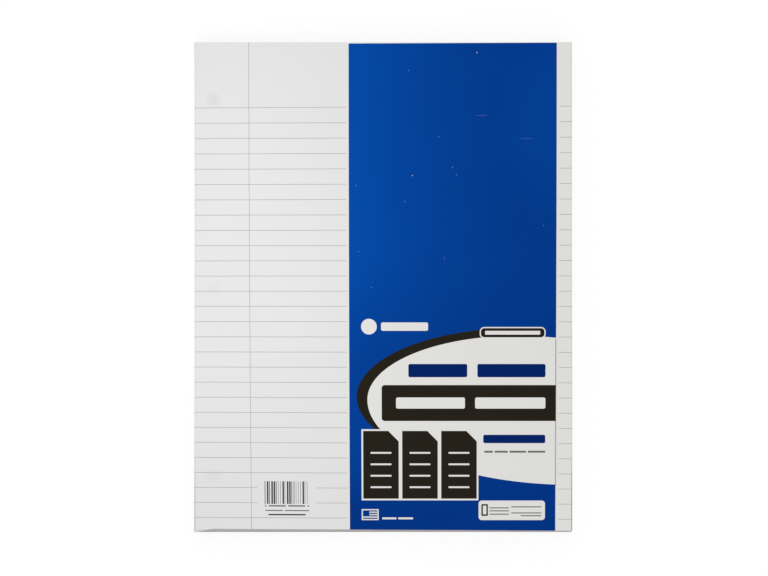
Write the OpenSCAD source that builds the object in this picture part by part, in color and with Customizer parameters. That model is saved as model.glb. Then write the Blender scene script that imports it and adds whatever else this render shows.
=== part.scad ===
// Wrapped pack of loose ruled filler paper, lying on its back.
// X runs across the sheet, Y from the foot of the sheet to its head, Z up through the stack.

/* [Sheets] */
// Width of a sheet
sheet_w = 215.9; // [200:0.1:230]
// Length of a sheet
sheet_l = 279.4; // [260:0.1:300]
// Thickness of a sheet
sheet_t = 0.08; // [0.06:0.005:0.12]
// Number of sheets in the pack
sheet_count = 200; // [100:4:300]
// Sheets that lie flush in one step of the stack's ends
sheets_per_step = 4; // [1:1:10]
// How far the lowest sheets stand out past the top ones at the foot
rack = 1.5; // [0:0.1:3]
// Most that a step lies back from that slant
jog = 0.3; // [0.05:0.05:0.6]
// Diameter of the punched holes
hole_d = 7.1; // [5:0.1:9]
// Distance between the punched holes
hole_pitch = 107.95; // [80:0.05:115]
// Middle of the holes from the sheet's left edge
hole_inset = 10.5; // [8:0.1:16]

/* [Sleeve] */
// Thickness of the wrapping paper
wrap_t = 0.12; // [0.1:0.01:0.3]
// Length of the sleeve, from its head to its foot in the middle
wrap_l = 279.4; // [270:0.05:285]
// How far the stack stands out of the sleeve's foot
foot_show = 1.8; // [0.5:0.05:3]
// How much lower the foot is cut at the right edge than at the left
foot_skew = 1.15; // [0:0.05:1.5]
// Room between the sleeve and the sheets at each side
side_play = 0.28; // [0.1:0.01:0.6]
// Room between the sleeve's front and the top sheet
front_play = 0.1; // [0.05:0.01:0.5]
// Outer radius of the folds along the sides
fold_r = 1.2; // [0.6:0.05:2.5]
// Width of the glued lap on the back
lap_w = 26; // [12:1:60]
// Run over which the outer flap bends down onto the inner one
lap_ramp = 1.5; // [0.5:0.1:4]

/* [Ruled print] */
// Depth of the print in the paper
ink_t = 0.03; // [0.01:0.005:0.05]
// Width of a printed rule
rule_t = 0.3; // [0.15:0.05:0.8]
// Distance from rule to rule
rule_pitch = 8.731; // [6:0.001:10]
// First rule from the sleeve's head
head_drop = 37.1; // [20:0.1:60]
// Least room between the last rule and the sleeve's foot
foot_margin = 3; // [1:0.5:20]
// Margin line from the sleeve's left edge
margin_x = 32.15; // [22:0.05:36]

/* [Blue panel] */
// Width of the panel
panel_w = 118.3; // [116:0.1:130]
// Panel's right edge from the sleeve's right edge
panel_inset = 9.55; // [4:0.05:12]
// Bare paper between the panel and the rules beside it
panel_gap = 1.5; // [0.5:0.1:3]
// Bare paper over the panel at its left corner
panel_drop_left = 0.7; // [0.1:0.05:3]
// Bare paper over the panel at its right corner
panel_drop_right = 0.2; // [0.1:0.05:3]

/* [Label] */
// Tip of the pale field from the panel's right edge
pale_reach = 108; // [102:0.5:112]
// Middle of the pale field above the sleeve's foot
pale_v = 74.5; // [72:0.5:78]
// Half length of the curve over the pale field
pale_top_a = 86; // [75:0.5:95]
// Rise of the curve over the pale field
pale_top_b = 36.7; // [35:0.1:40]
// Half length of the curve under the pale field
pale_low_a = 118.4; // [95:0.1:125]
// Fall of the curve under the pale field
pale_low_b = 48.8; // [44:0.1:52]
// Breadth of the dark crescent at the pale field's tip
crescent_w = 6.2; // [3:0.1:8]
// Breadth of the dark crescent over the pale field
crescent_h = 4.4; // [2:0.1:5]
// How much higher the crescent's middle lies
crescent_lift = 1.5; // [0:0.1:3]
// Length of the dark block
block_w = 99.8; // [92:0.1:103]
// Height of the dark block
block_h = 20.6; // [12:0.1:22]
// Middle of the dark block above the foot
block_v = 72.6; // [71:0.1:74]
// Length of the small dark plate over the pale field
plate_w = 37.7; // [25:0.1:45]
// Height of that plate
plate_h = 6.6; // [4:0.1:8]
// Middle of that plate above the foot
plate_v = 112.9; // [112:0.1:116]
// Paper-white border round the small plate
plate_border = 0.7; // [0.3:0.1:1.2]
// Distance of the words' right ends from the panel's right edge
word_inset = 6; // [3:0.1:10]
// Height of the heading's word bars
heading_h = 7.6; // [4:0.1:9]
// Middle of the heading above the foot
heading_v = 91.2; // [90:0.1:93]
// Height of the word bars in the dark block
block_word_h = 6.4; // [3:0.1:9]
// Height of the third line's word bar
third_h = 4.8; // [3:0.1:6]
// Middle of the third line above the foot
third_v = 52; // [50:0.1:54]

/* [Page marks] */
// Number of page marks
mark_count = 3; // [1:1:3]
// Width of a page mark
mark_w = 20.4; // [14:0.1:20.5]
// Height of a page mark
mark_h = 38.8; // [28:0.1:39]
// Paper-white border round the marks
mark_border = 1; // [0.6:0.05:1.5]
// Foot of the marks above the sleeve's foot
mark_v = 17.8; // [17:0.1:20]
// Left edge of the marks from the panel's left edge
mark_inset = 6.8; // [4:0.1:8]
// Cut corner of a page mark
mark_corner = 6; // [3:0.1:8]
// Lines on a page mark
mark_lines = 4; // [2:1:4]
// Length of those lines
mark_line_w = 12; // [6:0.5:12]

/* [Small fields] */
// Width of the pale tag at the foot
tag_w = 38.2; // [30:0.1:42]
// Height of the pale tag
tag_h = 11.2; // [9:0.1:12]
// Foot of the pale tag above the sleeve's foot
tag_v = 5.5; // [4:0.1:6]
// Width of the striped field
stripes_w = 9.8; // [7:0.1:12]
// Height of the striped field
stripes_h = 6.3; // [5:0.1:7]
// Bare stripes in it
stripe_count = 4; // [2:1:5]
// Width of the bare block at its upper left
stripe_block_w = 3.7; // [1.5:0.1:4]
// Diameter of the plain dot at the label's head
dot_d = 9; // [5:0.1:9]
// Middle of the dot above the foot
dot_v = 116.4; // [116:0.1:120]
// Left edge of the bar code from the sleeve's left edge
code_x = 39.9; // [38:0.1:44]
// Number of bars in the bar code
code_bars = 20; // [14:1:32]
// Distance from bar to bar
code_pitch = 1.28; // [0.9:0.01:1.4]
// Height of the bars
code_h = 13.2; // [8:0.1:15]
// Foot of the bars above the sleeve's foot
code_v = 14.6; // [14:0.1:16]
// Bare paper on each side of the bar code
code_gap = 4.2; // [2:0.1:6]
// Bare paper over the bar code
code_head_gap = 2.5; // [1:0.1:6]
// Bare paper under the bar code, with its small lines
code_foot_gap = 7; // [6.8:0.1:10]

/* [Hidden] */

$fn = 64;
// Overlap of a cutter past the face that it opens
over = 1;
// Segments in a quarter of a round corner and in a long curve
corner_steps = 6;
curve_steps = 36;
// Turn from one copy to the next that spreads a repeated thing unevenly
uneven_turn = 137.5;

// Heights, from the lap on the table to the front of the sleeve
lap_t = wrap_t;
stack_h = sheet_count * sheet_t;
stack_z = lap_t + wrap_t;
front_z = stack_z + stack_h + front_play + wrap_t;
mid_z = (lap_t + front_z) / 2;

// Widths and lengths
wrap_w = sheet_w + 2 * (side_play + wrap_t);
half_w = wrap_w / 2;
total_l = max(wrap_l + foot_show, sheet_l + rack + jog);
stack_foot_y = -total_l / 2;
foot_y = stack_foot_y + foot_show;
head_y = foot_y + wrap_l;
holes_y = stack_foot_y + (rack + sheet_l) / 2;

// Steps of the stack's ends
step_count = ceil(sheet_count / sheets_per_step);
step_h = stack_h / step_count;

// Sides of the blue panel
panel_x1 = half_w - panel_inset;
panel_x0 = panel_x1 - panel_w;

// Ruled print
rule_count = floor((wrap_l - head_drop - foot_margin) / rule_pitch) + 1;
margin_at = margin_x - half_w;
code_w = code_bars * code_pitch;

// Label, measured leftwards from the panel's right edge and upwards from the foot
pale_top_u = pale_top_a - pale_reach;
pale_low_u = pale_low_a - pale_reach;
plate_u = -word_inset - plate_w / 2;
plate_r = 0.4 * plate_h;
plate_word_h = plate_h / 3;
mark_u = mark_inset - panel_w;
mark_pitch = mark_w + 2 * mark_border;
mark_line_gap = (mark_h - mark_corner) / (mark_lines + 1);
mark_line_t = mark_border;
stripe_t = stripes_h / (2 * stripe_count + 1);
tag_r = 1.8;
block_r = 1.7;
word_r = 1;
small_r = 0.3;

// Lengths of the word bars in each line, from the left, and the space between them
heading_words = [33.7, 39];
block_words = [39.5, 40.3];
third_words = [35.6];
plate_words = [31.5];
size_words = [5, 7.5, 9.5, 10];
name_words = [26.9];
origin_words = [8.2, 8.6];
word_gap = 5.8;
small_gap = 1;
maker_gap = 2.4;

// Heights of the small lines, and the middle of the origin line over the foot of the small fields
origin_h = 1.1;
origin_lift = 1;
size_h = 1.1;
size_drop = 7.3;
tag_line_h = 0.6;

// Lines on the pale tag, each with its length and its middle above the tag's foot
tag_left_lines = [[11.4, 7], [11.4, 5.3], [11.4, 3.4]];
tag_right_lines = [[17.5, 7.6], [17.5, 4.1], [12, 2.5]];
tag_left_inset = 20.6;
tag_right_inset = 2;

// Framed tile on the pale tag, from the tag's lower left corner
tile_place = [1.6, 2.4];
tile_size = [3.8, 6.8];
tile_rim = 0.9;

// Widths of the thin, middle and thick bars of the bar code
bar_widths = [0.22, 0.42, 0.88];

// Lines under the bar code, each with its right end, its drop, its height, its gaps and its words
digit_w = 1;
digit_gap = 1.3;
digits_w = (code_w - 2 * digit_w - 3 * digit_gap) / 2;
code_lines = [
    [code_w, 1.1, 0.8, digit_gap, [digit_w, digits_w, digits_w, digit_w]],
    [code_w, 3.8, 0.6, small_gap, [0.4 * code_w, 0.55 * code_w]],
    [0.92 * code_w, 6.2, 0.8, small_gap, [0.84 * code_w]]
];

function slant_at(i) = rack * i / (step_count - 1) + jog * (1 - cos(uneven_turn * i)) / 2;
function bar_width(i) = bar_widths[floor(len(bar_widths) * (1 + sin(uneven_turn * i * i)) / 2)];
function rule_y(i) = head_y - head_drop - i * rule_pitch;
function foot_at(x) = foot_y - foot_skew * x / wrap_w;
function sum(list, n) = n <= 0 ? 0 : list[n - 1] + sum(list, n - 1);

// Points of an ellipse from one angle to another
function curve(u, v, a, b, from, to) = [
    for (i = [0:curve_steps])
        let (t = from + (to - from) * i / curve_steps)
        [u + a * cos(t), v + b * sin(t)]
];

// Points of a rectangle with round corners
function round_rect(u, v, w, h, r) = [
    for (corner = [[w - r, h - r, 0], [r, h - r, 90], [r, r, 180], [w - r, r, 270]])
        for (i = [0:corner_steps])
            let (t = corner[2] + 90 * i / corner_steps)
            [u + corner[0] + r * cos(t), v + corner[1] + r * sin(t)]
];

// Points of a page with one cut corner, grown by a border of even breadth
function page(w, h, cut, border) =
    let (c = cut + border * (2 - sqrt(2)))
    [
        [-border, -border],
        [w + border, -border],
        [w + border, h + border - c],
        [w + border - c, h + border],
        [-border, h + border]
    ];

// Solid that follows a profile in X and Z from one Y to another
module along_y(y0, y1) {
    translate([0, y1, 0])
        rotate([90, 0, 0])
            linear_extrude(y1 - y0)
                children();
}

module rounded_section(w, z0, z1, r) {
    translate([0, (z0 + z1) / 2]) {
        square([w - 2 * r, z1 - z0], center = true);
        square([w, z1 - z0 - 2 * r], center = true);
        for (x = [-1, 1])
            for (z = [-1, 1])
                translate([x * (w / 2 - r), z * ((z1 - z0) / 2 - r)])
                    circle(r);
    }
}

// Section of the folded sleeve, grown or shrunk all round
module wrap_section(grow) {
    rounded_section(wrap_w + 2 * grow, lap_t - grow, front_z + grow, fold_r + grow);
}

module lap_section() {
    polygon([
        [-lap_w / 2, stack_z - wrap_t / 2],
        [-lap_w / 2, 0],
        [lap_w / 2, 0],
        [lap_w / 2 + lap_ramp, lap_t],
        [lap_w / 2 + lap_ramp, stack_z - wrap_t / 2]
    ]);
}

// Everything above the slanting cut at the sleeve's foot
module above_foot() {
    translate([0, 0, -over])
        linear_extrude(front_z + 3 * over)
            polygon([
                [-half_w - over, foot_at(-half_w - over)],
                [half_w + over, foot_at(half_w + over)],
                [half_w + over, head_y],
                [-half_w - over, head_y]
            ]);
}

// Print let into the sleeve's front; reach carries a cutter out through the face
module front_ink(reach) {
    translate([0, 0, front_z - ink_t])
        linear_extrude(ink_t + reach)
            children();
}

module at_label() {
    translate([panel_x1, foot_y])
        children();
}

module at_code() {
    translate([code_x - half_w, foot_y])
        children();
}

// Row of bars in place of words, with its right end at u
module words_left_of(u, v, h, lengths, gap, r) {
    count = len(lengths);
    start = u - sum(lengths, count) - (count - 1) * gap;
    for (i = [0:count - 1])
        polygon(round_rect(start + sum(lengths, i) + i * gap, v - h / 2, lengths[i], h, r));
}

module pale_field() {
    top_end = acos(-pale_top_u / pale_top_a);
    low_end = acos(-pale_low_u / pale_low_a);
    polygon(concat(
        curve(pale_top_u, pale_v, pale_top_a, pale_top_b, 180, top_end),
        [
            [over, pale_v + pale_top_b * sin(top_end)],
            [over, pale_v - pale_low_b * sin(low_end)]
        ],
        curve(pale_low_u, pale_v, pale_low_a, pale_low_b, -low_end, -180)
    ));
}

module crescent_field() {
    a = pale_top_a + crescent_w;
    b = pale_top_b + crescent_h - crescent_lift;
    v = pale_v + crescent_lift;
    reach = (plate_u - pale_top_u) / a;
    polygon(concat(
        curve(pale_top_u, v, a, b, acos(reach), 270),
        [[plate_u, v - b]]
    ));
}

module plate_field(border) {
    w = plate_w - 2 * border;
    h = plate_h - 2 * border;
    polygon(round_rect(plate_u - w / 2, plate_v - h / 2, w, h, plate_r - border));
}

module mark_fields(border) {
    for (i = [0:mark_count - 1])
        translate([mark_u + mark_border + i * mark_pitch, mark_v])
            polygon(page(mark_w, mark_h, mark_corner, border));
}

module mark_ruling() {
    for (i = [0:mark_count - 1])
        for (line = [1:mark_lines])
            translate([mark_u + mark_border + i * mark_pitch, mark_v + line * mark_line_gap])
                polygon(round_rect(
                    (mark_w - mark_line_w) / 2, -mark_line_t / 2, mark_line_w, mark_line_t, small_r
                ));
}

module tag_field() {
    polygon(round_rect(-word_inset - tag_w, tag_v, tag_w, tag_h, tag_r));
}

module stripes_field() {
    translate([mark_u, tag_v])
        difference() {
            square([stripes_w, stripes_h]);
            for (i = [0:stripe_count - 1])
                translate([stripe_t, (2 * i + 1) * stripe_t])
                    square([stripes_w - 2 * stripe_t, stripe_t]);
            translate([stripe_t, stripe_count * stripe_t])
                square([stripe_block_w, stripe_count * stripe_t]);
        }
}

module maker_place() {
    translate([mark_u + dot_d / 2, dot_v])
        circle(dot_d / 2);
    words_left_of(
        mark_u + dot_d + maker_gap + sum(name_words, len(name_words)),
        dot_v, third_h, name_words, word_gap, word_r
    );
}

module origin_line() {
    length = sum(origin_words, len(origin_words)) + small_gap;
    words_left_of(
        mark_u + stripes_w + 2 * small_gap + length,
        tag_v + origin_lift, origin_h, origin_words, small_gap, small_r
    );
}

// Areas of each ink on the front, none over another
module blue_area() {
    difference() {
        polygon([
            [panel_x0, foot_y - over - foot_skew],
            [panel_x1, foot_y - over - foot_skew],
            [panel_x1, head_y - panel_drop_right],
            [panel_x0, head_y - panel_drop_left]
        ]);
        at_label() {
            pale_field();
            crescent_field();
            plate_field(0);
            mark_fields(mark_border);
            tag_field();
            stripes_field();
            maker_place();
            origin_line();
        }
    }
}

module dark_area() {
    at_label() {
        difference() {
            crescent_field();
            pale_field();
            plate_field(0);
            mark_fields(mark_border);
        }
        difference() {
            translate([-block_w, block_v - block_h / 2])
                polygon(concat(
                    [[block_w, 0], [block_w, block_h]],
                    [for (i = [0:corner_steps]) let (t = 90 + 90 * i / corner_steps)
                        [block_r + block_r * cos(t), block_h - block_r + block_r * sin(t)]],
                    [for (i = [0:corner_steps]) let (t = 180 + 90 * i / corner_steps)
                        [block_r + block_r * cos(t), block_r + block_r * sin(t)]]
                ));
            words_left_of(-word_inset, block_v, block_word_h, block_words, word_gap, word_r);
        }
        difference() {
            plate_field(plate_border);
            words_left_of(
                plate_u + sum(plate_words, len(plate_words)) / 2,
                plate_v, plate_word_h, plate_words, 0, small_r
            );
        }
    }
}

module mark_area() {
    at_label()
        difference() {
            mark_fields(0);
            mark_ruling();
        }
}

module word_area() {
    at_label() {
        words_left_of(-word_inset, heading_v, heading_h, heading_words, word_gap, word_r);
        words_left_of(-word_inset, third_v, third_h, third_words, word_gap, word_r);
    }
}

module code_area() {
    at_code()
        for (i = [0:code_bars - 1])
            translate([i * code_pitch, code_v])
                square([bar_width(i), code_h]);
}

module small_area() {
    at_code()
        for (line = code_lines)
            words_left_of(line[0], code_v - line[1], line[2], line[4], line[3], small_r);
    at_label() {
        words_left_of(-word_inset, third_v - size_drop, size_h, size_words, small_gap, small_r);
        for (line = tag_left_lines)
            words_left_of(
                -word_inset - tag_left_inset,
                tag_v + line[1], tag_line_h, [line[0]], 0, small_r
            );
        for (line = tag_right_lines)
            words_left_of(
                -word_inset - tag_right_inset,
                tag_v + line[1], tag_line_h, [line[0]], 0, small_r
            );
        translate([-word_inset - tag_w + tile_place[0], tag_v + tile_place[1]])
            difference() {
                polygon(round_rect(0, 0, tile_size[0], tile_size[1], 2 * small_r));
                polygon(round_rect(
                    tile_rim, tile_rim, tile_size[0] - 2 * tile_rim, tile_size[1] - 2 * tile_rim, small_r
                ));
            }
    }
}

// Places where no rule is printed: the panel, the bar code and the glued lap
module bare_windows() {
    translate([panel_x0 - panel_gap, -total_l, mid_z])
        cube([panel_w + 2 * panel_gap, 2 * total_l, front_z]);
    translate([code_x - half_w - code_gap, foot_y + code_v - code_foot_gap, mid_z])
        cube([code_w + 2 * code_gap, code_h + code_foot_gap + code_head_gap, front_z]);
    translate([-lap_w / 2, -total_l, -front_z])
        cube([lap_w + lap_ramp, 2 * total_l, front_z + mid_z]);
}

module rule_print(reach) {
    difference() {
        union() {
            difference() {
                for (i = [0:rule_count - 1])
                    along_y(rule_y(i) - rule_t / 2, rule_y(i) + rule_t / 2)
                        wrap_section(reach);
                along_y(-total_l, total_l)
                    wrap_section(-ink_t);
            }
            front_ink(reach)
                translate([margin_at - rule_t / 2, foot_y - over])
                    square([rule_t, wrap_l + over]);
        }
        bare_windows();
    }
}

module paper_stack() {
    color([0.9, 0.89, 0.87])
        difference() {
            intersection() {
                translate([-sheet_w / 2, 0, stack_z])
                    rotate([90, 0, 90])
                        linear_extrude(sheet_w)
                            polygon(concat(
                                [for (i = [0:step_count - 1]) for (z = [i, i + 1])
                                    [stack_foot_y + slant_at(i), z * step_h]],
                                [for (i = [step_count - 1:-1:0]) for (z = [i + 1, i])
                                    [stack_foot_y + slant_at(i) + sheet_l, z * step_h]]
                            ));
                along_y(-total_l, total_l)
                    rounded_section(sheet_w, stack_z, stack_z + stack_h, fold_r - wrap_t);
            }
            for (i = [-1:1])
                translate([hole_inset - sheet_w / 2, holes_y + i * hole_pitch, 0])
                    cylinder(h = front_z, d = hole_d);
        }
}

module sleeve() {
    color([0.9, 0.9, 0.9])
        difference() {
            intersection() {
                along_y(-total_l, total_l)
                    union() {
                        wrap_section(0);
                        lap_section();
                    }
                above_foot();
            }
            along_y(-total_l, total_l)
                wrap_section(-wrap_t);
            rule_print(over);
            front_ink(over) {
                blue_area();
                dark_area();
                mark_area();
                word_area();
                code_area();
                small_area();
            }
        }
}

module ruled_lines() {
    color([0.72, 0.72, 0.72])
        intersection() {
            rule_print(0);
            above_foot();
        }
}

module blue_panel() {
    color([0, 0.25, 0.57])
        intersection() {
            front_ink(0)
                blue_area();
            above_foot();
        }
}

module dark_print() {
    color([0.14, 0.125, 0.1])
        front_ink(0)
            dark_area();
}

module page_marks() {
    color([0.14, 0.125, 0.1])
        front_ink(0)
            mark_area();
}

module word_bars() {
    color([0.02, 0.16, 0.46])
        front_ink(0)
            word_area();
}

module barcode() {
    color([0.25, 0.25, 0.26])
        front_ink(0)
            code_area();
}

module small_print() {
    color([0.55, 0.55, 0.56])
        front_ink(0)
            small_area();
}

paper_stack();
sleeve();
ruled_lines();
blue_panel();
dark_print();
page_marks();
word_bars();
barcode();
small_print();
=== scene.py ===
import math
import random

import bmesh
import bpy
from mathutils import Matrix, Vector, noise


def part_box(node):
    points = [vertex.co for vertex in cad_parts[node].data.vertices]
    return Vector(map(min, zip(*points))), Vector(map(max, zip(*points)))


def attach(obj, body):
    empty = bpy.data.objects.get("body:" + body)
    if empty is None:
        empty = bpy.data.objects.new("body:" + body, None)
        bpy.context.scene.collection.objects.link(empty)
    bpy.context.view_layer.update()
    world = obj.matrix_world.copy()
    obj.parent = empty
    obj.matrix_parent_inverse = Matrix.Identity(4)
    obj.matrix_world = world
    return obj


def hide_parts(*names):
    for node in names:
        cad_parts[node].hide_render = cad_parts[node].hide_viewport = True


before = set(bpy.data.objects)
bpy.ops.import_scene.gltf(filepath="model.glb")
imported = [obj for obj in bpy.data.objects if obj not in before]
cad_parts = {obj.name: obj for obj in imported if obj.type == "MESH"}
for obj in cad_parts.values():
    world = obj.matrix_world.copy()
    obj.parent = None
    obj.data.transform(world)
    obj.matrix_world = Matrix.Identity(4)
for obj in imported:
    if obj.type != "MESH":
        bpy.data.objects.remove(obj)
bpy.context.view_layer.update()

# Sizes are in metres: X runs across the sheet, Y towards its head, Z up through the pack.
MM = 0.001
SLEEVE_LO, SLEEVE_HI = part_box("sleeve")
STACK_LO, STACK_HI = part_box("paper_stack")
PANEL_LO, PANEL_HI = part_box("blue_panel")
HALF_W = SLEEVE_HI.x
HALF_L = SLEEVE_HI.y
FRONT_Z = SLEEVE_HI.z

# The photograph's frame in pixels, what a pixel spans on the pack's front, and the pixel over the origin
PHOTO_W, PHOTO_H = 768, 576
PIXEL = 0.5732 * MM
ORIGIN_PX, ORIGIN_PY = 383.46, 287.55
PHOTO_DISTANCE = 5.0
SENSOR_W = 36.0
CAMERA_REACH = 20.0

# Sheets of the stack
SHEET_COUNT = 200
SHEET_L = 279.4 * MM
SHEET_PITCH = 0.07825 * MM
SHEET_SHARE = 0.88
SHEET_JITTER = 0.05 * MM
LIFT_SHEETS = 23
LIFT_JITTER = 0.09 * MM
RACK = 1.5 * MM
STACK_EASE = 1.08 * MM
CORNER_ZONE = 1 * MM
STACK_SEED = 11
HOLE_R = 3.55 * MM
HOLE_SEGMENTS = 24
HOLE_PITCH = 107.95 * MM
HOLE_X = STACK_LO.x + 10.5 * MM
HOLE_Y = -0.15 * MM
HOLES = [(HOLE_X, HOLE_Y + step * HOLE_PITCH) for step in (1, 0, -1)]

# Lie of the wrapping paper: broad and small waves, each a width and a depth, and dimples over the holes
PAPER_WAVES = ((0.105, 0.21 * MM), (0.038, 0.07 * MM))
WAVE_SLICE = 3.7
WAVES_FULL, WAVES_END = HALF_W - 14 * MM, HALF_W - 2 * MM
DIMPLE_DEPTH = 0.1 * MM
DIMPLE_FLOOR, DIMPLE_RIM = 0.3 * HOLE_R, 1.5 * HOLE_R

# How far down and in from the folds the front and the sides carry their own shifts
FRONT_FADE = (FRONT_Z - 3 * MM, FRONT_Z - 1 * MM)
FRONT_ONLY = FRONT_Z - 2 * MM
SIDE_REACH = 8 * MM

# Pinch and flare of the sides, and the corner that is bent down at the left of the foot
LEFT_PINCH = 0.16 * MM
LEFT_FLARE = 0.345 * MM
LEFT_FOOT_FLARE = 0.145 * MM
RIGHT_PINCH = 0.29 * MM
RIGHT_FOOT_FLARE = 0.2 * MM
RIGHT_FLARE_SPAN = (-0.1, 0.45)
EAR_DROP = 2.0 * MM
EAR_START, EAR_END = 1.2 * MM, 6.9 * MM
EAR_FLAT, EAR_TOP = 0.5 * MM, 5 * MM

# Drift of the print: the rules fan and bow, and the panel draws in towards the foot
RULE_FAN = 0.006
FAN_MIDDLE = -0.06
RULE_BOW = 0.83 * MM
RULE_DROP = 0.04 * MM
BOW_MIDDLE = -0.1
BOW_REACH = 0.84
PANEL_DRAW = 0.0145
PANEL_SPREAD = 0.62
DRAW_MIDDLE = 36 * MM
DRAW_POWER = 1.7
DRAW_FULL, DRAW_END = 101 * MM, 107 * MM
DRIFT_START, DRIFT_FULL = 0.015, 0.055
PANEL_GAP = 1.5 * MM

# Grid on which the flat paper is cut so that it can follow its waves, finer round the holes
GRID = 7 * MM
HOLE_GRID = 1.4 * MM
HOLE_CUTS = 4
HOLE_CUT_REACH = 2.4 * HOLE_R
FOLD_CUTS = (1.4 * MM, 3 * MM)
FOOT_CUTS = (1.8 * MM, 3.5 * MM)
CUT_SLACK = 1e-7
MERGE_GAP = 1e-6
EASE_ANGLE = math.radians(35)


def at_pixel(px, py):
    """Place on the pack's front under a pixel of the photograph."""
    return (px - ORIGIN_PX) * PIXEL, (ORIGIN_PY - py) * PIXEL


def ramp(value, low, high):
    """Share from 0 to 1 of the way from low to high."""
    return min(1.0, max(0.0, (value - low) / (high - low)))


def smooth(value, low, high):
    """The same share, eased at both ends."""
    t = ramp(value, low, high)
    return t * t * (3 - 2 * t)


def front_sag(x, y):
    """How far the front has sunk at a place where it lies loose on the sheets."""
    sag = 0.0
    for layer, (width, depth) in enumerate(PAPER_WAVES):
        sag += depth * (0.5 + 0.5 * noise.noise(Vector((x / width, y / width, WAVE_SLICE + layer))))
    for hole_x, hole_y in HOLES:
        away = math.hypot(x - hole_x, y - hole_y)
        sag += DIMPLE_DEPTH * (1 - smooth(away, DIMPLE_FLOOR, DIMPLE_RIM))
    return sag * (1 - smooth(abs(x), WAVES_FULL, WAVES_END))


def print_drift(x, y, z):
    """How far the print lies from its square place, along X and Y."""
    v = y / HALF_L
    down = (1 - v) / 2
    inner = 1 - smooth(abs(x), DRAW_FULL, DRAW_END)
    along_x = -PANEL_DRAW * (x - DRAW_MIDDLE) * (down ** DRAW_POWER - PANEL_SPREAD) * inner
    bow = RULE_DROP + RULE_BOW * max(0.0, 1 - ((v - BOW_MIDDLE) / BOW_REACH) ** 2)
    free = smooth(1 - abs(v), DRIFT_START, DRIFT_FULL)
    along_y = (RULE_FAN * x * (v - FAN_MIDDLE) - bow) * free
    if z < FRONT_ONLY:
        return 0.0, along_y
    past_panel = max(PANEL_LO.x - x, x - PANEL_HI.x)
    return along_x, along_y * ramp(past_panel, 0.0, PANEL_GAP)


def side_shift(x, y):
    """How far the sleeve's side stands out to the right of its square place."""
    v = y / HALF_L
    if x < 0:
        return LEFT_PINCH + LEFT_FOOT_FLARE * v - LEFT_FLARE * v * v
    return RIGHT_FOOT_FLARE * smooth(-v, *RIGHT_FLARE_SPAN) - RIGHT_PINCH


def paper_shift(place):
    """How far a point of the wrapping paper and its print lies from its ideal place."""
    x, y, z = place
    front = smooth(z, *FRONT_FADE)
    side = smooth(abs(x), HALF_W - SIDE_REACH, HALF_W)
    along_x, along_y = print_drift(x, y, z)
    ear_x = 1 - smooth(x + HALF_W, EAR_START, EAR_END)
    ear_y = 1 - smooth(y - SLEEVE_LO.y, EAR_FLAT, EAR_TOP)
    ear = EAR_DROP * ear_x * ear_y * smooth(z, FRONT_Z / 4, FRONT_Z)
    return Vector((
        along_x + side_shift(x, y) * side,
        along_y - ear,
        -front_sag(x, y) * front,
    ))


def cut_across(bm, axis, place, faces):
    """Cuts some faces along a plane square to an axis, and gives all their parts."""
    through = [0.0, 0.0, 0.0]
    facing = [0.0, 0.0, 0.0]
    through[axis] = place
    facing[axis] = 1.0
    edges = {edge for face in faces for edge in face.edges}
    verts = {vert for edge in edges for vert in edge.verts}
    cut = bmesh.ops.bisect_plane(
        bm, geom=list(verts) + list(edges) + list(faces), dist=CUT_SLACK,
        plane_co=through, plane_no=facing
    )
    return [item for item in cut["geom"] if isinstance(item, bmesh.types.BMFace)]


def cut_on_grid(bm, lo, hi):
    """Cuts a flat paper mesh finely enough to follow its waves and dimples."""
    beside_folds = [side * (HALF_W - inset) for side in (-1, 1) for inset in FOLD_CUTS]
    by_the_foot = [SLEEVE_LO.y + rise for rise in FOOT_CUTS]
    for axis, extra in ((0, beside_folds), (1, by_the_foot)):
        first = math.ceil(lo[axis] / GRID)
        last = math.floor(hi[axis] / GRID)
        for place in [step * GRID for step in range(first, last + 1)] + extra:
            cut_across(bm, axis, place, bm.faces[:])
    for hole in HOLES:
        near = []
        for face in bm.faces:
            middle = face.calc_center_median()
            if middle.z > FRONT_FADE[1] and math.dist(middle.xy, hole) < HOLE_CUT_REACH:
                near.append(face)
        for axis in (0, 1):
            for step in range(-HOLE_CUTS, HOLE_CUTS + 1):
                near = cut_across(bm, axis, hole[axis] + step * HOLE_GRID, near)


def ease_shading(bm):
    """Shades a mesh smooth across its shallow edges and sharp across the others."""
    bm.normal_update()
    for face in bm.faces:
        face.smooth = True
    for edge in bm.edges:
        edge.smooth = edge.calc_face_angle(math.pi) < EASE_ANGLE


def add_piece(name, bm, material, replaced):
    """Makes a mesh a piece that rides with the pack in place of some of its nodes."""
    mesh = bpy.data.meshes.new(name)
    bm.to_mesh(mesh)
    bm.free()
    piece = bpy.data.objects.new(name, mesh)
    bpy.context.scene.collection.objects.link(piece)
    mesh.materials.append(material)
    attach(piece, "root")
    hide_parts(*replaced)
    return piece


def lay_paper(node, name, material):
    """Copies a node of the sleeve or its print and lays it in the waves of loose paper."""
    bm = bmesh.new()
    bm.from_mesh(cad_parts[node].data)
    bmesh.ops.remove_doubles(bm, verts=bm.verts, dist=MERGE_GAP)
    cut_on_grid(bm, *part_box(node))
    for vert in bm.verts:
        vert.co += paper_shift(vert.co)
    ease_shading(bm)
    return add_piece(name, bm, material, [node])


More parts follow.
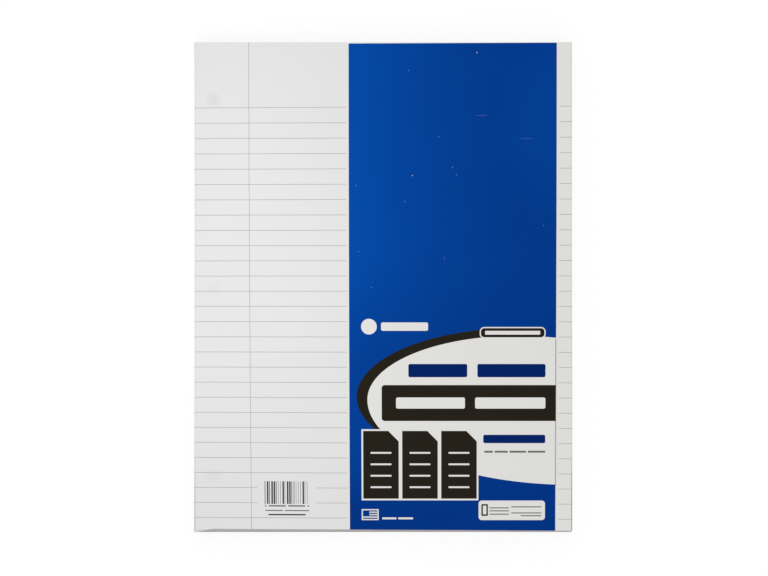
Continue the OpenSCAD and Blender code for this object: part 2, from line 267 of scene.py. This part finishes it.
def cut_sheet():
    """Mesh of one punched sheet, with its middle at the origin and its foot at Y 0."""
    bm = bmesh.new()
    sheet_w = STACK_HI.x - STACK_LO.x
    made = bmesh.ops.create_grid(bm, x_segments=1, y_segments=1, size=0.5)
    bmesh.ops.scale(bm, vec=(sheet_w, SHEET_L, 1), verts=made["verts"])
    bmesh.ops.translate(bm, vec=(0, SHEET_L / 2, 0), verts=made["verts"])
    bmesh.ops.delete(bm, geom=bm.faces[:], context="FACES_ONLY")
    for step in (-1, 0, 1):
        made = bmesh.ops.create_circle(bm, cap_ends=False, radius=HOLE_R, segments=HOLE_SEGMENTS)
        bmesh.ops.translate(bm, vec=(HOLE_X, SHEET_L / 2 + step * HOLE_PITCH, 0), verts=made["verts"])
    bmesh.ops.triangle_fill(bm, use_beauty=True, edges=bm.edges, normal=(0, 0, 1))
    made = bmesh.ops.extrude_face_region(bm, geom=bm.faces[:])
    top = [item for item in made["geom"] if isinstance(item, bmesh.types.BMVert)]
    bmesh.ops.translate(bm, vec=(0, 0, SHEET_SHARE * SHEET_PITCH), verts=top)
    bmesh.ops.recalc_face_normals(bm, faces=bm.faces)
    mesh = bpy.data.meshes.new("one_sheet")
    bm.to_mesh(mesh)
    bm.free()
    return mesh


def stack_sheets(material):
    """Piles the sheets, each lift a little out of line, on a slant at the foot."""
    chance = random.Random(STACK_SEED)
    one_sheet = cut_sheet()
    bm = bmesh.new()
    lift = 0.0
    for count in range(SHEET_COUNT):
        if count % LIFT_SHEETS == 0:
            lift = chance.uniform(0, LIFT_JITTER)
        height = count * SHEET_PITCH
        from_face = min(height, (SHEET_COUNT - 1 - count) * SHEET_PITCH)
        sunk = max(0.0, STACK_EASE - from_face)
        ease = STACK_EASE - math.sqrt(STACK_EASE ** 2 - sunk ** 2)
        before = len(bm.verts)
        bm.from_mesh(one_sheet)
        bm.verts.ensure_lookup_table()
        sheet = bm.verts[before:]
        for vert in sheet:
            if abs(vert.co.x) > STACK_HI.x - CORNER_ZONE:
                vert.co.x -= math.copysign(ease, vert.co.x)
        slant = RACK * count / (SHEET_COUNT - 1)
        bmesh.ops.translate(bm, verts=sheet, vec=(
            chance.uniform(-SHEET_JITTER, SHEET_JITTER),
            STACK_LO.y + slant + lift + chance.uniform(0, SHEET_JITTER),
            STACK_LO.z + height,
        ))
    bpy.data.meshes.remove(one_sheet)
    return add_piece("sheets", bm, material, ["paper_stack"])


def rgb(red, green, blue):
    """Colour given as on a screen, from 0 to 255, as the linear colour that a shader takes."""
    linear = [
        tone / 255 / 12.92 if tone <= 10 else ((tone / 255 + 0.055) / 1.055) ** 2.4
        for tone in (red, green, blue)
    ]
    return (*linear, 1.0)


class Value:
    """A socket of a material, whose arithmetic adds Math nodes."""

    def __init__(self, paint, socket):
        self.paint = paint
        self.socket = socket

    def math(self, operation, first, second):
        return self.paint.node("ShaderNodeMath", {"operation": operation}, {0: first, 1: second})

    def __add__(self, other):
        return self.math("ADD", self, other)

    def __radd__(self, other):
        return self.math("ADD", other, self)

    def __sub__(self, other):
        return self.math("SUBTRACT", self, other)

    def __rsub__(self, other):
        return self.math("SUBTRACT", other, self)

    def __mul__(self, other):
        return self.math("MULTIPLY", self, other)

    def __rmul__(self, other):
        return self.math("MULTIPLY", other, self)

    def at_least(self, other):
        return self.math("MAXIMUM", self, other)


class Paint:
    """The nodes of one material or of the world."""

    def __init__(self, tree):
        self.tree = tree
        self.tree.nodes.clear()

    def node(self, kind, settings, inputs, output=0):
        """Adds a node: its settings first, then its sockets' values or links."""
        made = self.tree.nodes.new(kind)
        for name, value in settings.items():
            setattr(made, name, value)
        for name, value in inputs.items():
            if isinstance(value, Value):
                self.tree.links.new(value.socket, made.inputs[name])
            else:
                made.inputs[name].default_value = value
        return Value(self, made.outputs[output]) if made.outputs else made

    def place(self):
        return self.node("ShaderNodeTexCoord", {}, {}, "Object")

    def along(self, axis):
        """Place along one axis."""
        return self.node("ShaderNodeSeparateXYZ", {}, {"Vector": self.place()}, axis)

    def clouds(self, size, detail=2.0, stretch=(1, 1, 1)):
        """Cloudy value round 0.5, with features of a size in metres."""
        scale = tuple(1 / (size * share) for share in stretch)
        placed = self.node("ShaderNodeMapping", {}, {"Vector": self.place(), "Scale": scale})
        return self.node("ShaderNodeTexNoise", {}, {"Vector": placed, "Scale": 1.0, "Detail": detail})

    def share(self, value, low, high):
        """Smooth share from 0 to 1 of the way from low to high."""
        limits = {"Value": value, "From Min": low, "From Max": high}
        return self.node("ShaderNodeMapRange", {"interpolation_type": "SMOOTHSTEP"}, limits)

    def away(self, middle, reach=(1.0, 1.0)):
        """Distance in plan from a place, counted in reaches along X and Y."""
        counted = (1 / reach[0], 1 / reach[1], 0)
        flat = self.node("ShaderNodeVectorMath", {"operation": "MULTIPLY"}, {0: self.place(), 1: counted})
        target = (middle[0] / reach[0], middle[1] / reach[1], 0)
        return self.node("ShaderNodeVectorMath", {"operation": "DISTANCE"}, {0: flat, 1: target}, "Value")

    def blend(self, share, first, second):
        """Colour that goes from first to second."""
        return self.node("ShaderNodeMix", {"data_type": "RGBA"}, {0: share, 6: first, 7: second}, 2)

    def ray(self, kind):
        return self.node("ShaderNodeLightPath", {}, {}, kind)

    def seen(self):
        """1 for the rays that see the background: from the camera, off gloss or through glass."""
        return self.ray("Is Camera Ray").at_least(self.ray("Is Glossy Ray")).at_least(
            self.ray("Is Transmission Ray")
        )

    def surface(self, base, roughness, height, depth, specular):
        """Finishes the material as one paper-like surface with a fine relief."""
        relief = self.node("ShaderNodeBump", {}, {"Distance": depth, "Height": height})
        shader = self.node("ShaderNodeBsdfPrincipled", {}, {
            "Base Color": base,
            "Roughness": roughness,
            "Normal": relief,
            "Specular IOR Level": specular,
        })
        self.node("ShaderNodeOutputMaterial", {}, {"Surface": shader})


def new_paint(name):
    """A new material's paint, and the material."""
    material = bpy.data.materials.new(name)
    material.use_nodes = True
    return Paint(material.node_tree), material


# Tones of the paper and the inks, as on a screen
PAPER_WHITE = rgb(238, 238, 238)
PAPER_WARM = rgb(239, 238, 235)
PAPER_DULL = rgb(206, 206, 205)
WARM_FROM, WARM_TO = -50 * MM, 20 * MM
HOLE_SHADES = (0.24, 0.1, 0.14)
HOLE_SHADE_RIM, HOLE_SHADE_FULL = 1.6 * HOLE_R, 0.4 * HOLE_R
PAPER_GLOSS = 0.25
PAPER_RELIEF = 0.012 * MM

# Painted shade along the folds, which grows towards the foot, and painted shade at the bent corner
FOLD_SHADE_GREY = rgb(164, 164, 166)
FOLD_SHADE_HEAD, FOLD_SHADE_FOOT = -88 * MM, -122 * MM
FOLD_SHADE_LOW, FOLD_SHADE_TOP = FRONT_Z - 1.3 * MM, FRONT_Z - 0.5 * MM
RIGHT_FOLD_SHADE, RIGHT_FOLD_SHADE_GAIN, LEFT_FOLD_SHADE_GAIN = 0.12, 0.78, 0.25
RIGHT_FOLD_SHADE_SPAN = (HALF_W - 1.05 * MM, HALF_W - 0.5 * MM)
LEFT_FOLD_SHADE_SPAN = (-HALF_W + 1.1 * MM, -HALF_W + 0.5 * MM)
EAR_PLACE = (-HALF_W + 3.4 * MM, -HALF_L)
EAR_REACH = (4 * MM, 2.6 * MM)
EAR_PAINTED_SHADE = 0.55

# Hairline where the panel's pale field meets the margin: its tone, ends and half width in millimetres
HAIRLINE_GREY = rgb(171, 171, 171)
HAIRLINE_HEAD = at_pixel(555.85, 338.6)
HAIRLINE_FOOT = at_pixel(555.4, 485.5)
HAIRLINE_LEAN = (HAIRLINE_HEAD[0] - HAIRLINE_FOOT[0]) / (HAIRLINE_HEAD[1] - HAIRLINE_FOOT[1])
HAIRLINE_HALF = 0.42
HAIRLINE_FADE = 0.4 * MM

# Cut ends of the sheets, whose dull tone is partly painted shade between the sheets
SHEET_WHITE = rgb(228, 225, 223)
SHEET_DULL = rgb(177, 173, 172)
SHEET_GLOSS = 0.15
SHEET_RELIEF = 0.02 * MM

# Blue of the panel with a painted sheen: the stretches up the sheet over which the painted sheen lightens
# it, the share of that which its right edge takes, and a patch of painted sheen near the head
BLUE_PAINTED_SHEEN = rgb(3, 78, 175)
BLUE_DEEP = rgb(1, 55, 138)
BLUE_RISES = ((-47 * MM, 27 * MM), (-136 * MM, -87 * MM))
BLUE_RIGHT_SHARE = 0.22
BLUE_SHEEN_PATCH = at_pixel(550, 120)
BLUE_SHEEN_PATCH_REACH = (30 * MM, 55 * MM)
BLUE_SHEEN_PATCH_LIFT = 0.2

# The other inks, and the gloss, mottle and roughness of all of them
DARK_BROWN = rgb(38, 34, 26)
DARK_WORN = rgb(60, 55, 47)
HEADING_BLUE = rgb(4, 36, 102)
RULE_GREY = rgb(173, 173, 173)
CODE_GREY = rgb(62, 61, 58)
CODE_WORN = rgb(120, 119, 116)
INK_GLOSS = 0.015
INK_MOTTLE = 1.3 * MM
INK_RELIEF = 0.008 * MM
INK_ROUGH, BLUE_ROUGH, ROUGH_SPREAD = 0.38, 0.34, 0.14

# Small lines, and the tile and the lowest line of the code, which are as dark as its bars
LINE_GREY = rgb(113, 113, 112)
TILE_PLACE = at_pixel(484.4, 510.2)
TILE_REACH = (2.75 * MM, 6 * MM)
BOLD_LINE_TOP = at_pixel(285, 513.2)
BOLD_LINE_END = -20 * MM

# Pinholes in the blue print: each a pixel of the photograph, half lengths along X and Y and a strength
PINHOLES = (
    (476.4, 52.0, 0.5, 0.5, 0.75),
    (411.8, 175.0, 0.45, 0.5, 0.75),
    (438.0, 136.0, 0.4, 0.4, 0.35),
    (452.0, 167.0, 0.4, 0.4, 0.35),
    (456.0, 174.5, 0.4, 0.4, 0.35),
    (408.0, 70.0, 0.4, 0.4, 0.3),
    (371.0, 287.0, 0.4, 0.4, 0.3),
    (543.0, 225.0, 0.4, 0.4, 0.3),
    (404.0, 201.0, 0.4, 0.4, 0.3),
    (355.5, 185.0, 0.4, 0.4, 0.3),
    (358.0, 251.0, 0.4, 0.4, 0.3),
    (481.0, 115.0, 5.2, 0.35, 0.07),
    (526.0, 138.0, 6.5, 0.35, 0.06),
    (444.0, 258.0, 0.35, 2.0, 0.08),
)


def hairline(paint, across, up):
    """Share of the printed hairline that runs down between the pale field and the margin."""
    off = (across - HAIRLINE_HEAD[0] - HAIRLINE_LEAN * (up - HAIRLINE_HEAD[1])) * (1 / MM)
    line = paint.share(off * off, HAIRLINE_HALF ** 2, 0.12 * HAIRLINE_HALF ** 2)
    below_head = paint.share(up, HAIRLINE_HEAD[1], HAIRLINE_HEAD[1] - HAIRLINE_FADE)
    above_foot = paint.share(up, HAIRLINE_FOOT[1], HAIRLINE_FOOT[1] + HAIRLINE_FADE)
    on_front = paint.share(paint.along("Z"), FRONT_FADE[0], FRONT_ONLY)
    return line * below_head * above_foot * on_front


def wrap_paper():
    """White wrapping paper, a little cloudy, with painted shade along the folds at the sides and at the
    bent corner, and the holes showing through.
    """
    paint, material = new_paint("wrap_paper")
    fibre = paint.clouds(0.5 * MM, 3.0, (1, 2.2, 1))
    cloud = paint.clouds(38 * MM)
    across = paint.along("X")
    foot = paint.share(paint.along("Y"), FOLD_SHADE_HEAD, FOLD_SHADE_FOOT)
    by_fold = paint.share(paint.along("Z"), FOLD_SHADE_LOW, FOLD_SHADE_TOP)
    # right and left are painted shade along the folds, darker on the right and towards the foot
    right = paint.share(across, *RIGHT_FOLD_SHADE_SPAN) * (RIGHT_FOLD_SHADE + RIGHT_FOLD_SHADE_GAIN * foot)
    left = paint.share(across, *LEFT_FOLD_SHADE_SPAN) * (LEFT_FOLD_SHADE_GAIN * foot)
    shade = 0.1 * cloud + 0.05 * fibre
    # painted shade at the bent corner of the foot
    shade = shade + EAR_PAINTED_SHADE * paint.share(paint.away(EAR_PLACE, EAR_REACH), 1.2, 0.3)
    for hole, strength in zip(HOLES, HOLE_SHADES):
        shade = shade + strength * paint.share(paint.away(hole), HOLE_SHADE_RIM, HOLE_SHADE_FULL)
    white = paint.blend(paint.share(across, WARM_FROM, WARM_TO), PAPER_WHITE, PAPER_WARM)
    base = paint.blend(shade, white, PAPER_DULL)
    base = paint.blend(by_fold * (right + left), base, FOLD_SHADE_GREY)
    base = paint.blend(hairline(paint, across, paint.along("Y")), base, HAIRLINE_GREY)
    paint.surface(base, 0.42 + 0.16 * fibre, fibre, PAPER_RELIEF, PAPER_GLOSS)
    return material


def sheet_paper():
    """Uncoated writing paper, seen at its cut ends, darkened in layers partly with painted shade between
    the sheets.
    """
    paint, material = new_paint("sheet_paper")
    leaves = paint.clouds(0.35 * MM, 2.0, (60, 60, 1))
    grain = paint.clouds(0.6 * MM, 3.0)
    # the darker layers are partly painted shade between the sheets and partly the paper's own random tone
    base = paint.blend(0.7 * leaves + 0.2 * grain, SHEET_WHITE, SHEET_DULL)
    paint.surface(base, 0.72 + 0.12 * grain, grain, SHEET_RELIEF, SHEET_GLOSS)
    return material


def ink(name, colour, worn):
    """Solid ink on paper, mottled where it has taken unevenly."""
    paint, material = new_paint(name)
    mottle = paint.clouds(INK_MOTTLE, 3.0)
    cloud = paint.clouds(22 * MM)
    base = paint.blend(0.05 * mottle + 0.05 * cloud, colour, worn)
    paint.surface(base, INK_ROUGH + ROUGH_SPREAD * mottle, mottle, INK_RELIEF, INK_GLOSS)
    return material


def line_ink():
    """Grey ink of the small lines, at its fullest in the tag's tile and the lowest line of the code."""
    paint, material = new_paint("line_ink")
    mottle = paint.clouds(INK_MOTTLE, 3.0)
    tile = paint.share(paint.away(TILE_PLACE, TILE_REACH), 1.04, 1.0)
    low = paint.share(paint.along("Y"), BOLD_LINE_TOP[1], BOLD_LINE_TOP[1] - 0.1 * MM)
    bold = low * paint.share(paint.along("X"), BOLD_LINE_END, BOLD_LINE_END - 1 * MM)
    base = paint.blend(tile.at_least(bold), LINE_GREY, CODE_GREY)
    paint.surface(base, INK_ROUGH + ROUGH_SPREAD * mottle, mottle, INK_RELIEF, INK_GLOSS)
    return material


def blue_ink():
    """The panel's blue, with a painted sheen that lightens it towards the left and the head, and pinholes
    in the print.
    """
    paint, material = new_paint("blue_ink")
    mottle = paint.clouds(INK_MOTTLE, 3.0)
    cloud = paint.clouds(26 * MM)
    left = (PANEL_HI.x - paint.along("X")) * (1 / (PANEL_HI.x - PANEL_LO.x))
    up = paint.along("Y")
    rise = 0.5 * paint.share(up, *BLUE_RISES[0]) + 0.5 * paint.share(up, *BLUE_RISES[1])
    sheen_patch = BLUE_SHEEN_PATCH_LIFT * paint.share(paint.away(BLUE_SHEEN_PATCH, BLUE_SHEEN_PATCH_REACH), 1.3, 0.2)
    # glow is painted sheen: lighter towards the left and the head, with a patch near the head
    glow = (BLUE_RIGHT_SHARE + (1 - BLUE_RIGHT_SHARE) * left * left) * rise + sheen_patch
    base = paint.blend(glow + 0.12 * cloud + 0.06 * mottle - 0.09, BLUE_DEEP, BLUE_PAINTED_SHEEN)
    for px, py, along_x, along_y, strength in PINHOLES:
        away = paint.away(at_pixel(px + 0.5, py + 0.5), (along_x * PIXEL, along_y * PIXEL))
        base = paint.blend(strength * paint.share(away, 1.5, 0.5), base, PAPER_WHITE)
    paint.surface(base, BLUE_ROUGH + ROUGH_SPREAD * mottle, mottle, INK_RELIEF, INK_GLOSS)
    return material


def aim_camera():
    """Long lens straight over the pack, framed as the photograph is."""
    data = bpy.data.cameras.new("camera")
    data.sensor_width = SENSOR_W
    data.lens = PHOTO_DISTANCE * SENSOR_W / (PIXEL * PHOTO_W)
    data.clip_end = CAMERA_REACH
    camera = bpy.data.objects.new("camera", data)
    camera.location = (
        (PHOTO_W / 2 - ORIGIN_PX) * PIXEL,
        (ORIGIN_PY - PHOTO_H / 2) * PIXEL,
        FRONT_Z + PHOTO_DISTANCE,
    )
    bpy.context.scene.collection.objects.link(camera)
    bpy.context.scene.camera = camera


# Light: the strength of what comes evenly from all round, and a small soft lamp over the left edge
SKY_LIGHT = 0.835
LAMP_PLACE = (-0.088, 0.029, FRONT_Z + 0.12)
LAMP_SIZE = (0.096, 0.225)
LAMP_POWER = 0.0317

# Floor, a hair under the pack's lowest face: its glow and tone as the camera sees it, and the tone
# that throws light back on the pack
FLOOR_GLOW = 0.8
FLOOR_SHOWN = rgb(137, 137, 137)
FLOOR_BOUNCE = rgb(231, 231, 231)
FLOOR_Z = -0.05 * MM
FLOOR_SIZE = 6.0


def hang_lamp():
    data = bpy.data.lights.new("soft_lamp", "AREA")
    data.shape = "RECTANGLE"
    data.size, data.size_y = LAMP_SIZE
    data.energy = LAMP_POWER
    lamp = bpy.data.objects.new("soft_lamp", data)
    lamp.location = LAMP_PLACE
    lamp.visible_camera = False
    bpy.context.scene.collection.objects.link(lamp)


def light_world():
    """Even light from all round, in front of a white backdrop."""
    world = bpy.data.worlds.new("studio")
    world.use_nodes = True
    bpy.context.scene.world = world
    paint = Paint(world.node_tree)
    strength = SKY_LIGHT + (1 - SKY_LIGHT) * paint.seen()
    backdrop = paint.node("ShaderNodeBackground", {}, {"Color": (1, 1, 1, 1), "Strength": strength})
    paint.node("ShaderNodeOutputWorld", {}, {"Surface": backdrop})


def lay_floor():
    """White floor that keeps a faint shadow of the pack."""
    paint, material = new_paint("floor")
    glow = paint.node("ShaderNodeEmission", {}, {"Color": (1, 1, 1, 1), "Strength": FLOOR_GLOW})
    shown = paint.node("ShaderNodeBsdfDiffuse", {}, {"Color": FLOOR_SHOWN})
    lighting = paint.node("ShaderNodeBsdfDiffuse", {}, {"Color": FLOOR_BOUNCE})
    bright = paint.node("ShaderNodeAddShader", {}, {0: glow, 1: shown})
    mixed = paint.node("ShaderNodeMixShader", {}, {0: paint.seen(), 1: lighting, 2: bright})
    paint.node("ShaderNodeOutputMaterial", {}, {"Surface": mixed})
    bm = bmesh.new()
    made = bmesh.ops.create_grid(bm, x_segments=1, y_segments=1, size=FLOOR_SIZE / 2)
    bmesh.ops.translate(bm, vec=(0, 0, FLOOR_Z), verts=made["verts"])
    mesh = bpy.data.meshes.new("floor")
    bm.to_mesh(mesh)
    bm.free()
    mesh.materials.append(material)
    floor = bpy.data.objects.new("floor", mesh)
    bpy.context.scene.collection.objects.link(floor)


aim_camera()
light_world()
hang_lamp()
lay_floor()
dark_ink = ink("dark_ink", DARK_BROWN, DARK_WORN)
stack_sheets(sheet_paper())
lay_paper("sleeve", "sleeve_paper", wrap_paper())
lay_paper("ruled_lines", "rules", ink("rule_ink", RULE_GREY, PAPER_DULL))
lay_paper("blue_panel", "panel_print", blue_ink())
lay_paper("dark_print", "block_and_crescent", dark_ink)
lay_paper("page_marks", "mark_print", dark_ink)
lay_paper("word_bars", "heading_bars", ink("heading_ink", HEADING_BLUE, BLUE_DEEP))
lay_paper("barcode", "code_bars", ink("small_ink", CODE_GREY, CODE_WORN))
lay_paper("small_print", "small_lines", line_ink())

bpy.context.scene.view_settings.view_transform = "Standard"
